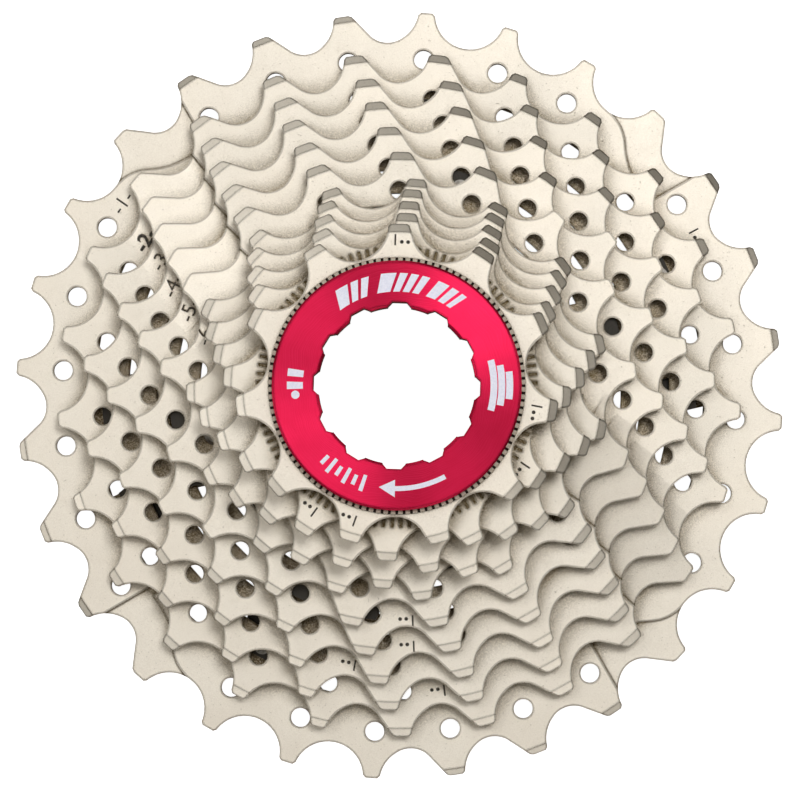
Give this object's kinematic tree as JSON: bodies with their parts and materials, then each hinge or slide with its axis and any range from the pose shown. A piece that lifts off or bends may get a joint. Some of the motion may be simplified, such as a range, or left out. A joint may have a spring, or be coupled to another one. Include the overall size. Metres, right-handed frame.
{
  "type": "cassette sprocket",
  "caption": "Bicycle cassette of stacked sprockets on two riveted spider carriers, with loose small sprockets, spacers and a red notched lockring that screws down on them.",
  "frame": {"origin": "centre of the back face of the large carrier's hub, on the wheel axis", "axes": "+Z along the wheel axis from the largest sprocket to the lockring; +X and +Y across the sprockets"},
  "size_m": [0.1154, 0.1154, 0.0424],
  "materials": {
    "nickel_plate": "satin nickel plate with a fine grain",
    "carrier_alloy": "black anodised",
    "rivet_steel": "satin",
    "spacer_nylon": "moulded",
    "washer_steel": "satin",
    "lockring_red": "turned and anodised"
  },
  "bodies": {
    "large_cluster": {"carrier_large": "carrier_alloy", "sprocket_28t": "nickel_plate", "sprocket_25t": "nickel_plate", "sprocket_23t": "nickel_plate", "rivets_28t": "rivet_steel", "rivets_25t": "rivet_steel", "rivets_23t": "rivet_steel"},
    "small_cluster": {"carrier_spacer": "spacer_nylon", "carrier_small": "carrier_alloy", "sprocket_21t": "nickel_plate", "sprocket_19t": "nickel_plate", "sprocket_17t": "nickel_plate", "rivets_21t": "rivet_steel", "rivets_19t": "rivet_steel", "rivets_17t": "rivet_steel"},
    "cog_15t": {"spacer_17_15": "spacer_nylon", "sprocket_15t": "nickel_plate"},
    "cog_14t": {"spacer_15_14": "spacer_nylon", "sprocket_14t": "nickel_plate"},
    "cog_13t": {"spacer_14_13": "spacer_nylon", "sprocket_13t": "nickel_plate"},
    "cog_12t": {"spacer_13_12": "spacer_nylon", "sprocket_12t": "nickel_plate"},
    "cog_11t": {"sprocket_11t": "nickel_plate"},
    "washer": {"lock_washer": "washer_steel"},
    "lockring": {"lockring": "lockring_red"}
  },
  "joints": [
    {"name": "small_cluster_lift", "type": "slide", "parent": "large_cluster", "child": "small_cluster", "axis": [0, 0, 1], "range_m": [0, 0.012]},
    {"name": "cog_15t_lift", "type": "slide", "parent": "small_cluster", "child": "cog_15t", "axis": [0, 0, 1], "range_m": [0, 0.012]},
    {"name": "cog_14t_lift", "type": "slide", "parent": "cog_15t", "child": "cog_14t", "axis": [0, 0, 1], "range_m": [0, 0.012]},
    {"name": "cog_13t_lift", "type": "slide", "parent": "cog_14t", "child": "cog_13t", "axis": [0, 0, 1], "range_m": [0, 0.012]},
    {"name": "cog_12t_lift", "type": "slide", "parent": "cog_13t", "child": "cog_12t", "axis": [0, 0, 1], "range_m": [0, 0.012]},
    {"name": "cog_11t_lift", "type": "slide", "parent": "cog_12t", "child": "cog_11t", "axis": [0, 0, 1], "range_m": [0, 0.012]},
    {"name": "lockring_travel", "type": "slide", "parent": "cog_11t", "child": "washer", "axis": [0, 0, 1], "range_m": [0, 0.0053]},
    {"name": "lockring_turn", "type": "hinge", "parent": "washer", "child": "lockring", "pos_m": [0, 0, 0.0409], "axis": [0, 0, 1], "range_deg": [0, 1800]}
  ],
  "couplings": [
    {"joint": "lockring_travel", "follows": "lockring_turn", "m_per_rad": 0.00016839}
  ]
}
